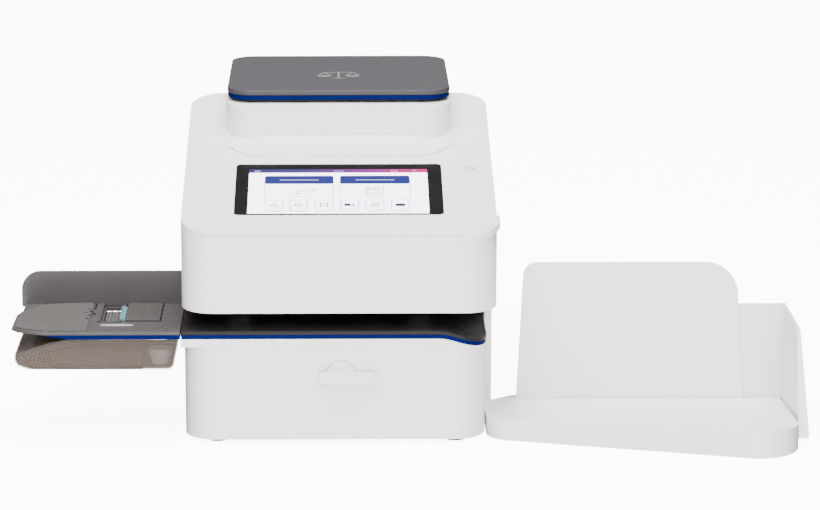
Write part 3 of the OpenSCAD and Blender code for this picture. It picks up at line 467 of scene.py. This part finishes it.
SCREEN = {"x0": -77.9, "x1": 76.9, "low": 35.4, "bar": 114.1, "top": 120.9}
GAP = 0.02                             # between the glass and the picture
SKIN = 0.05                            # thickness of one layer of the picture
LINE = SKIN * 1.6                      # top of a thin line on the first layer
SIGN = SKIN * 1.8                      # top of a sign or a sketch on the first layer
HEAD = SKIN * 2                        # top of a card's head
RULE = SKIN * 2.6                      # top of the rule on a card's head
CARDS = ((-64.1, -4.6), (1.0, 61.5))   # left and right edge of each card
TILE_X = (-55.4, -34.5, -12.7, 9.2, 30.8, 52.6)
TILE_UP = 51.5


def band(work, low, high):
    """A lit band across the screen, between two distances up the panel."""
    sheet(work, on_panel, rounded(SCREEN["x0"], SCREEN["x1"], low, high, 0.3, 1), GAP, SKIN)


def screen_field(work):
    band(work, SCREEN["low"], SCREEN["bar"])


def status_bar(work):
    band(work, SCREEN["bar"], SCREEN["top"])


def status_marks(work):
    """Small marks on the status bar: a wireless fan, a battery, a rule and three menu lines."""
    for r in (1.0, 2.0, 3.0):
        stroke(work, on_panel, arc(66, 116.2, r, 50, 130, 6), 0.5, SKIN, LINE)
    for i in range(3):
        stroke(work, on_panel, [(-73, 115.8 + 1.5 * i), (-68.5, 115.8 + 1.5 * i)], 0.6, SKIN, LINE)
    stroke(work, on_panel, [(46, 116), (51, 116), (51, 119), (46, 119), (46, 116)], 0.5, SKIN, LINE)
    stroke(work, on_panel, [(-4, 117.5), (4, 117.5)], 1.0, SKIN, LINE)


def card_heads(work):
    for x0, x1 in CARDS:
        sheet(work, on_panel, rounded(x0, x1, 92.2, 107.9, 2.2), SKIN, HEAD)


def card_marks(work):
    """A short pale rule on each card's head."""
    for middle in (-34.3, 31.2):
        stroke(work, on_panel, [(middle - 16, 99.8), (middle + 16, 99.8)], 1.6, HEAD, RULE)


def card_frames(work):
    for x0, x1 in CARDS:
        stroke(work, on_panel, [(x0, 95), (x0, 67), (x1, 67), (x1, 95)], 0.6, SKIN, LINE)


def tile_frames(work):
    for x in TILE_X:
        edge = rounded(x - 7.6, x + 7.6, TILE_UP - 9.4, TILE_UP + 9.4, 1.6, 3)
        stroke(work, on_panel, edge + edge[:1], 0.7, SKIN, LINE)
        stroke(work, on_panel, [(x - 6, TILE_UP - 12), (x + 6, TILE_UP - 12)], 0.9, SKIN, LINE)


def tile_icons(work):
    """Six plain signs (roof, coin, page, van, stack, pill) and a small stroke beside them."""
    place, low, high = on_panel, SKIN, SIGN
    up = TILE_UP
    x = TILE_X[0]
    roof = [(x - 4, up - 2.5), (x, up + 2.5), (x + 4, up - 2.5), (x - 4, up - 2.5)]
    stroke(work, place, roof, 0.9, low, high)
    x = TILE_X[1]
    stroke(work, place, arc(x, up, 3.2, 0, 360, 18), 0.9, low, high)
    sheet(work, place, rounded(x - 1, x + 1, up - 1, up + 1, 0.4, 2), low, high)
    x = TILE_X[2]
    stroke(work, place, [(x - 3, up - 3.5), (x - 3, up + 3.5), (x + 3, up + 3.5), (x + 3, up - 3.5),
                         (x - 3, up - 3.5)], 0.8, low, high)
    stroke(work, place, [(x - 1.6, up), (x + 1.6, up)], 0.8, low, high)
    x = TILE_X[3]
    sheet(work, place, rounded(x - 4.4, x + 1, up - 2, up + 2.6, 0.5, 2), low, high)
    sheet(work, place, rounded(x + 1.6, x + 4.4, up - 2, up + 1, 0.5, 2), low, high)
    x = TILE_X[4]
    for i in range(3):
        stroke(work, place, [(x - 3.4, up - 2.6 + 2.6 * i), (x + 3.4, up - 2.6 + 2.6 * i)], 1.2, low, high)
    x = TILE_X[5]
    sheet(work, place, rounded(x - 4.6, x + 4.6, up - 2.6, up + 2.6, 2.5), low, high)
    stroke(work, place, [(62.6, up + 0.6), (64, up + 3.4), (66, up + 6.6)], 0.8, low, high)


def envelope_sketch(work):
    """A hand holding out an envelope, in a few lines."""
    low, high = SKIN, SIGN
    stroke(work, on_panel, [(-37, 72), (-24, 75), (-20, 82), (-33, 80), (-37, 72)], 0.6, low, high)
    stroke(work, on_panel, [(-33, 80), (-28, 76), (-20, 82)], 0.5, low, high)
    stroke(work, on_panel, [(-45, 74), (-40, 77), (-34, 77.5)], 0.6, low, high)
    stroke(work, on_panel, [(-45, 71), (-38, 72), (-33, 74)], 0.6, low, high)


def label_sketch(work):
    """A label sheet with a code on it."""
    low, high = SKIN, SIGN
    stroke(work, on_panel, [(24, 71), (24, 86), (38, 86), (38, 71), (24, 71)], 0.8, low, high)
    for i in range(4):
        stroke(work, on_panel, [(26 + 2.6 * i, 79), (26 + 2.6 * i, 84)], 1.0, low, high)
    stroke(work, on_panel, [(26, 75), (36, 75)], 1.0, low, high)


make_all(tuple((faces, FINISH[finish], "lid", "black_glass", False) for faces, finish in (
    (screen_field, "screen"), (status_bar, "bar"), (status_marks, "tile_edge"), (card_heads, "card"),
    (card_marks, "tile_edge"), (card_frames, "tile_edge"), (tile_frames, "tile_edge"),
    (tile_icons, "icon"), (envelope_sketch, "sketch"), (label_sketch, "icon"),
)))


# ---------------------------------------------------------------- marks on the lid and platform

def power_sign(work):
    x, up = 114.5, 121.9
    stroke(work, on_panel, arc(x, up, 3.4, -235, 55, 22), 0.75, 0.0, 0.06)
    stroke(work, on_panel, [(x, up + 0.8), (x, up + 4.4)], 0.8, 0.0, 0.06)


def lid_lines(work):
    """Three short raised lines where the lid is lifted."""
    for i in range(3):
        stroke(work, on_panel, [(109.8, 23.5 + 5 * i), (116.3, 23.5 + 5 * i)], 1.1, -0.05, 0.35)


def weighing_sign(work):
    """A plain two-pan balance: post, beam, foot and two hanging pans."""
    low, high = 0.0, 0.05
    stroke(work, on_platter, [(0, 246), (0, 276)], 1.5, low, high)
    stroke(work, on_platter, [(-12.6, 275), (12.6, 275)], 1.4, low, high)
    stroke(work, on_platter, [(-5, 245.5), (5, 245.5)], 1.6, low, high)
    for x in (-12.8, 12.8):
        stroke(work, on_platter, [(x - 6, 258), (x, 275), (x + 6, 258)], 1.2, low, high)
        sheet(work, on_platter, arc(x, 258.5, 6.6, 180, 360, 10, 0.75), low, high)


make_all((
    (power_sign, FINISH["print_dark"], "button", "deck_grey", False),
    (lid_lines, MATERIALS["shell_white"], "lid", "shell_white", False),
    (weighing_sign, FINISH["print_pale"], "platform", "mid_grey", False),
))


# ---------------------------------------------------------------- feed and sealing unit

HOUSING_BACK = 93.8                    # just inside the see-through housing's back wall


def guide_plate(work):
    """The thin left plate over the deck, with its curved rear edge."""
    curve = [(-214, 96.5), (-223, 96.2), (-240, 95), (-252, 91.5), (-262, 85), (-269, 75),
             (-272.5, 64)]
    front = [(-275.3, 56), (-276.2, 17), (-270.5, 10.4), (-250, 2.2), (-214, 2)]
    sheet(work, on_deck, list(reversed(curve + front)), 0.02, 0.9)


def deck_dots(work):
    for x, y, r in ((-216.6, 73.7, 1.5), (-214.4, 66, 1.9), (-211.4, 59, 1.7), (-218.5, 62, 1.2),
                    (-214.8, 53.3, 1.6), (-216.2, 41, 1.5)):
        sheet(work, on_deck, arc(x, y, r, 0, 330, 11), 0.9, 0.96)


def slot_edge_highlight(work):
    """Painted highlight: a pale round bar in the slot in front of the window, standing for the slot's lit
    front inner edge.
    """
    bar(work, on_deck(-203.4, 23, -0.9), on_deck(-176, 23, -0.9), 1.7, 14)


def window_rim(work):
    """The moulded lip round the moistening window."""
    edge = rounded(-206.4, -186.6, 32.6, 98.6, 1.2, 3)
    stroke(work, on_deck, edge + edge[:1], 1.5, 0.0, 0.5)


def seal_felt(work):
    """The wetting felt that stands in the window over the tank."""
    box(work, (-203, 37, 86), (-188.3, 96, 91))
    for i in range(5):
        box(work, (-202 + 2.9 * i, 40, 84), (-200.4 + 2.9 * i, 92, 92 + 0.4 * (i % 2)))


def bristles(work):
    """Rows of tufts on the moistener's strip, each leaning a little at random."""
    for row in range(3):
        for i in range(26):
            x = -186.7 + 1.1 * row
            y = 38.8 + 1.5 * i + 0.4 * (row % 2)
            foot = at(x, y, 96)
            tip = at(x - 1.1 + random.uniform(-0.3, 0.3), y + random.uniform(-0.4, 0.4), 101.2)
            bar(work, foot, tip, 0.62, 6, 0.3)


def ribbon(work, points, width, y0, y1):
    """A strip of even width along points (x, z), from depth y0 to y1."""
    for (ax, az), (bx, bz) in zip(points, points[1:]):
        run = math.hypot(bx - ax, bz - az)
        dx, dz = -(bz - az) / run * width / 2, (bx - ax) / run * width / 2
        prism(work, [at(ax - dx, y0, az - dz), at(bx - dx, y0, bz - dz),
                     at(bx - dx, y1, bz - dz), at(ax - dx, y1, az - dz)],
              [at(ax + dx, y0, az + dz), at(bx + dx, y0, bz + dz),
               at(bx + dx, y1, bz + dz), at(ax + dx, y1, az + dz)])


def housing_frame(work):
    """The dark outline of the see-through housing: its edges, ribs and lead-in curve."""
    ribbon(work, [(-274.4, 78.6), (-260, 83), (-246.3, 87.5), (-229.4, 90.6)], 0.9, 3.2, 5.2)
    ribbon(work, [(-246.5, 66.4), (-246.5, 84)], 0.9, 4.8, 6.4)
    ribbon(work, [(-166.9, 66.4), (-166.9, 82)], 1.0, 4.8, 6.4)
    ribbon(work, [(-262, 65.6), (-220, 65.2), (-166.9, 65.3)], 1.1, 3.1, 4.9)
    ribbon(work, [(-246.5, 80.5), (-232, 83.3), (-214, 84.6), (-190, 85.4), (-140, 85.4)],
           1.0, 4.8, 6.4)


def housing_pale(work):
    """The lighter second skin behind the lead-in curve, and the tank's rim."""
    ribbon(work, [(-272, 74.6), (-258, 79), (-246.5, 83), (-230, 86.6), (-212, 88.2), (-140, 88.4)],
           2.2, 5.2, 6.6)


def housing_lining(work):
    """The housing's tinted floor and ends and part of its back, which close it to light from behind."""
    ribbon(work, [(-274.7, 77), (-274.7, 72.9), (-272.5, 68.7), (-263.4, 65.5), (-144.4, 65.5),
                  (-141.4, 67.8), (-138.4, 82)], 0.6, 4.2, HOUSING_BACK)
    sheet(work, facing_front(HOUSING_BACK),
          [(-274.4, 77), (-274.4, 73), (-272.3, 69), (-263.3, 65.8), (-212, 65.8),
           (-212, 90), (-229.4, 90), (-246.3, 86.2), (-270, 78.4)], 0.0, 0.6)


def level_float(work):
    """The water-level float and its arm inside the tank."""
    outline = rounded(-196.6, -179.8, 74.3, 80.6, 1.0, 3)
    sheet(work, facing_front(20), outline, 0, 9)
    bar(work, at(-188, 20, 78), at(-172, 34, 78), 0.8, 8)


def cap_grip(work):
    """Finger ribs round the tank cap."""
    x, y = -152.6, 18
    ribs, reach = 16, 9.2
    for i in range(ribs):
        a = 2 * math.pi * i / ribs
        spot = at(x + reach * math.cos(a), y + reach * math.sin(a), 73.4)
        bar(work, spot, spot + Vector((0, 0, 6.2 * MM)), 0.55, 6)


make_all((
    (guide_plate, FINISH["guide_plate"], "base", "smoke_plastic", False),
    (deck_dots, FINISH["print_dark"], "base", "deck_grey", False),
    # painted highlight: a pale bar for the lit edge of the slot in front of the window
    (slot_edge_highlight, FINISH["painted_edge_highlight"], "base", "mid_grey", True),
    (window_rim, MATERIALS["smoke_plastic"], "base", "smoke_plastic", False),
    (seal_felt, FINISH["felt"], "base", "brush_teal", False),
    (bristles, MATERIALS["brush_teal"], "brush", "brush_teal", True),
    (housing_frame, FINISH["amber_edge"], "sealer_tray", "amber_plastic", False),
    (housing_pale, FINISH["amber_light"], "sealer_tray", "amber_plastic", False),
    (housing_lining, FINISH["lining"], "sealer_tray", "amber_plastic", False),
    (level_float, FINISH["float_grey"], "sealer_tray", "mid_grey", False),
    (cap_grip, MATERIALS["shell_white"], "cap", "shell_white", True),
))


# ---------------------------------------------------------------- back of the machine

REAR = 372.0                           # the machine's back face
LABEL = 0.12                           # thickness of a label
SMALL_PORTS = (33, 48)                 # left edges of the two small sockets


def rear_screws(work):
    for x in (-84, 84):
        for z in (16, 104):
            screw(work, at(x, REAR, z), (0, 1, 0))


def rating_label(work):
    sheet(work, facing_back(REAR), rounded(14, 72, 142, 178, 2), 0.0, LABEL)


def rating_marks(work):
    """Blank rules and a code block; the label carries no words."""
    place, low, high = facing_back(REAR), LABEL, 0.16
    for i in range(4):
        stroke(work, place, [(20, 170 - 6 * i), (46 - 4 * (i % 2), 170 - 6 * i)], 1.4, low, high)
    for row in range(6):
        for column in range(6):
            if random.random() < 0.55:
                x, z = 53 + 2.4 * column, 156 + 2.4 * row
                cell = [(x, z), (x + 2.3, z), (x + 2.3, z + 2.3), (x, z + 2.3)]
                sheet(work, place, cell, low, high)


def port_contacts(work):
    """Contacts in the network socket, and on the tongues of the two small ones."""
    for i in range(8):
        box(work, (14.6 + 1.6 * i, 359, 38.4), (15.3 + 1.6 * i, 368, 39.2))
    for x in SMALL_PORTS:
        for i in range(4):
            box(work, (x + 1.6 + 2.1 * i, 361, 32.7), (x + 2.6 + 2.1 * i, 369, 33.0))


def port_tongues(work):
    for x in SMALL_PORTS:
        box(work, (x + 0.8, 358.4, 31.2), (x + 10.2, 370, 32.7))


make_all((
    (rear_screws, MATERIALS["steel"], "base", "steel", False),
    (rating_label, FINISH["label"], "base", "shell_white", False),
    (rating_marks, FINISH["print_dark"], "base", "deck_grey", False),
    (port_contacts, FINISH["copper"], "base", "steel", False),
    (port_tongues, MATERIALS["black_plastic"], "base", "black_plastic", False),
))


# ---------------------------------------------------------------- inside the machine

BOARD = 164.6                          # the board's component side
FRAME_FRONT = 107                      # front face of the main frame plate
CARTRIDGE_FRONT = 61.3


def board_chips(work):
    """Small parts in rows: under the board's four chips, over them, and along its top edge."""
    for row, z in ((0, 28), (1, 55), (2, 96)):
        for i in range(15):
            x = -112 + 8 * i + 2 * row
            if x < 4:
                box(work, (x, BOARD, z - 1), (x + 3.2, BOARD + 1.3, z + 1))


def board_pins(work):
    """Leads along both sides of each chip."""
    for chip in range(4):
        for i in range(7):
            for z0, z1 in ((31.6, 34), (50, 52.4)):
                x = -109 + 28 * chip + 2.0 * i
                box(work, (x, BOARD, z0), (x + 0.7, BOARD + 0.9, z1))


def board_cans(work):
    """Round capacitors beside the board's tall block."""
    cans = ((-104, 74, 5), (-90, 74, 5), (-76, 74, 5), (-104, 88, 4), (-92, 88, 4), (-20, 70, 5))
    for x, z, r in cans:
        foot = at(x, BOARD, z)
        bar(work, foot, foot + Vector((0, 9 * MM, 0)), r, 24)


def board_sockets(work):
    for x, z in ((-20, 82), (-8, 82)):
        box(work, (x, BOARD, z), (x + 9, BOARD + 6, z + 12))
    box(work, (-8, BOARD, 60), (4, BOARD + 5, 68))


def board_leads(work):
    """Leads from the board's socket to the supply."""
    for i in range(3):
        cable(work, [(-16 + 2.2 * i, 169, 88), (-14 + 2.2 * i, 180, 92), (6 + 2 * i, 205, 70),
                     (4 + 2 * i, 240, 40), (-4 + 2 * i, 270, 34), (-4 + 2 * i, 282.5, 36)], 0.95)


def port_leads(work):
    for i in range(2):
        cable(work, [(-4 + 4 * i, 169, 64), (12 + 3 * i, 182, 62), (74 + 3 * i, 215, 40),
                     (78 + 3 * i, 290, 24), (70 + 3 * i, 336, 26), (50 - 8 * i, 352.5, 34)], 1.1)


def inlet_leads(work):
    for i in range(3):
        cable(work, [(-50 + 7 * i, 348.4, 34), (-50 + 7 * i, 343, 33), (-48 + 6 * i, 338, 32),
                     (-46 + 6 * i, 333.5, 32)], 1.2)


def motor_end(work):
    """The motor's rear bell, its bearing boss and two terminals."""
    x, z = -86, 53.2
    bar(work, at(x, 72.9, z), at(x, 71.9, z), 12, 32, 11)
    bar(work, at(x, 72, z), at(x, 70.4, z), 4, 24)
    for side in (-1, 1):
        box(work, (x + 7 * side - 1.2, 69.4, z - 0.4), (x + 7 * side + 1.2, 72.2, z + 0.4))


def frame_screws(work):
    for x in (-112, -50, 30, 112):
        for z in (12, 66):
            screw(work, at(x, FRAME_FRONT, z), (0, -1, 0), 2.6, 1.3)


def cartridge_label(work):
    sheet(work, facing_front(CARTRIDGE_FRONT), rounded(17.5, 40.5, 134, 164, 1.5, 3), 0.0, LABEL)


def cartridge_marks(work):
    place, low, high = facing_front(CARTRIDGE_FRONT), LABEL, 0.17
    sheet(work, place, rounded(20, 38, 153, 160, 0.8, 3), low, high)
    for i in range(3):
        stroke(work, place, [(20, 148 - 4 * i), (37 - 3 * i, 148 - 4 * i)], 1.2, low, high)


def vent_slot_shade(work):
    """Painted shade: dark bars on the supply's lid where its vent slots are, standing for the shade inside
    the slots.
    """
    for i in range(9):
        x = -50 + 12 * i
        box(work, (x, 290, 61.9), (x + 6, 326, 62.2))


def wiper_blades(work):
    """Two thin blades on the service station that clean the print head."""
    for x in (-104, -84):
        box(work, (x, 22, 140), (x + 1.2, 50, 142.6))


make_all((
    (board_chips, MATERIALS["black_plastic"], "base", "black_plastic", False),
    (board_pins, MATERIALS["steel"], "base", "steel", False),
    (board_cans, MATERIALS["aluminium"], "base", "aluminium", False),
    (board_sockets, MATERIALS["gear_white"], "base", "gear_white", False),
    (board_leads, MATERIALS["rubber"], "base", "rubber", True),
    (port_leads, MATERIALS["mid_grey"], "base", "mid_grey", True),
    (inlet_leads, MATERIALS["rubber"], "base", "rubber", True),
    (motor_end, MATERIALS["steel"], "base", "steel", False),
    (frame_screws, MATERIALS["steel"], "base", "steel", False),
    (cartridge_label, FINISH["label"], "carriage", "shell_white", False),
    (cartridge_marks, FINISH["print_dark"], "carriage", "deck_grey", False),
    # painted shade: black bars for the dark insides of the supply's vent slots
    (vent_slot_shade, MATERIALS["black_plastic"], "base", "black_plastic", False),
    (wiper_blades, MATERIALS["rubber"], "base", "rubber", False),
))


# ---------------------------------------------------------------- camera, light and floor

def studio():
    scene = bpy.context.scene
    camera = bpy.data.cameras.new("camera")
    camera.lens = 141.3
    camera.shift_x = 0.0866
    view = bpy.data.objects.new("camera", camera)
    body_low, body_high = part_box("upper_shell")
    middle = (body_low.x + body_high.x) / 2
    view.location = (middle, body_low.y - 2.6277, 0.8054)
    pitch = Matrix.Rotation(math.radians(90 - 13.7), 3, "X")
    view.rotation_euler = (pitch @ Matrix.Rotation(-0.0025, 3, "Z")).to_euler()
    camera.clip_end = 50
    scene.collection.objects.link(view)
    scene.camera = view

    scene.world = soft_surround()

    def softbox(name, place, aim, size, power):
        light = bpy.data.lights.new(name, "AREA")
        light.shape = "RECTANGLE"
        light.size, light.size_y = size
        light.energy = power
        panel = bpy.data.objects.new(name, light)
        panel.location = place
        panel.rotation_euler = (Vector(aim) - Vector(place)).to_track_quat("-Z", "Y").to_euler()
        scene.collection.objects.link(panel)

    softbox("key", (-0.9, -2.4, 1.9), (0, 0, 0.1), (1.2, 1.0), 25)
    softbox("overhead", (0, -0.15, 2.1), (0, 0.05, 0), (2.2, 1.3), 95)

    mesh = bpy.data.meshes.new("floor")
    reach = 12
    mesh.from_pydata([(-reach, -reach, 0), (reach, -reach, 0), (reach, reach, 0), (-reach, reach, 0)],
                     [], [(0, 1, 2, 3)])
    floor = bpy.data.objects.new("floor", mesh)
    material, _, _, bsdf = shader("floor")
    bsdf.inputs["Base Color"].default_value = (0.93, 0.93, 0.93, 1)
    bsdf.inputs["Roughness"].default_value = 0.7
    bsdf.inputs["Emission Color"].default_value = (1, 1, 1, 1)
    bsdf.inputs["Emission Strength"].default_value = 9
    mesh.materials.append(material)
    scene.collection.objects.link(floor)
    floor.visible_diffuse = False
    floor.visible_glossy = False


def soft_surround():
    """A white room, brightest in front and darker to the sides and behind."""
    world = bpy.data.worlds.new("studio")
    world.use_nodes = True
    nodes, links = world.node_tree.nodes, world.node_tree.links
    where = nodes.new("ShaderNodeTexCoord")
    split = nodes.new("ShaderNodeSeparateXYZ")
    links.new(where.outputs["Generated"], split.inputs["Vector"])

    def falloff(source, low, high, start, end):
        span = nodes.new("ShaderNodeMapRange")
        span.interpolation_type = "SMOOTHSTEP"
        span.inputs["From Min"].default_value = low
        span.inputs["From Max"].default_value = high
        span.inputs["To Min"].default_value = start
        span.inputs["To Max"].default_value = end
        links.new(source, span.inputs["Value"])
        return span.outputs["Result"]

    side = nodes.new("ShaderNodeMath")
    side.operation = "ABSOLUTE"
    links.new(split.outputs["X"], side.inputs[0])
    terms = [
        falloff(split.outputs["Y"], -0.35, 0.45, 5.8, 0.3),
        falloff(side.outputs["Value"], 0.12, 0.68, 1.0, 0.03),
        falloff(split.outputs["Z"], -0.9, 0.2, 1.75, 1.0),
    ]
    level = terms[0]
    for term in terms[1:]:
        product = nodes.new("ShaderNodeMath")
        product.operation = "MULTIPLY"
        links.new(level, product.inputs[0])
        links.new(term, product.inputs[1])
        level = product.outputs["Value"]
    sky = nodes["Background"]
    sky.inputs["Color"].default_value = (1, 1, 1, 1)
    links.new(level, sky.inputs["Strength"])
    return world


studio()
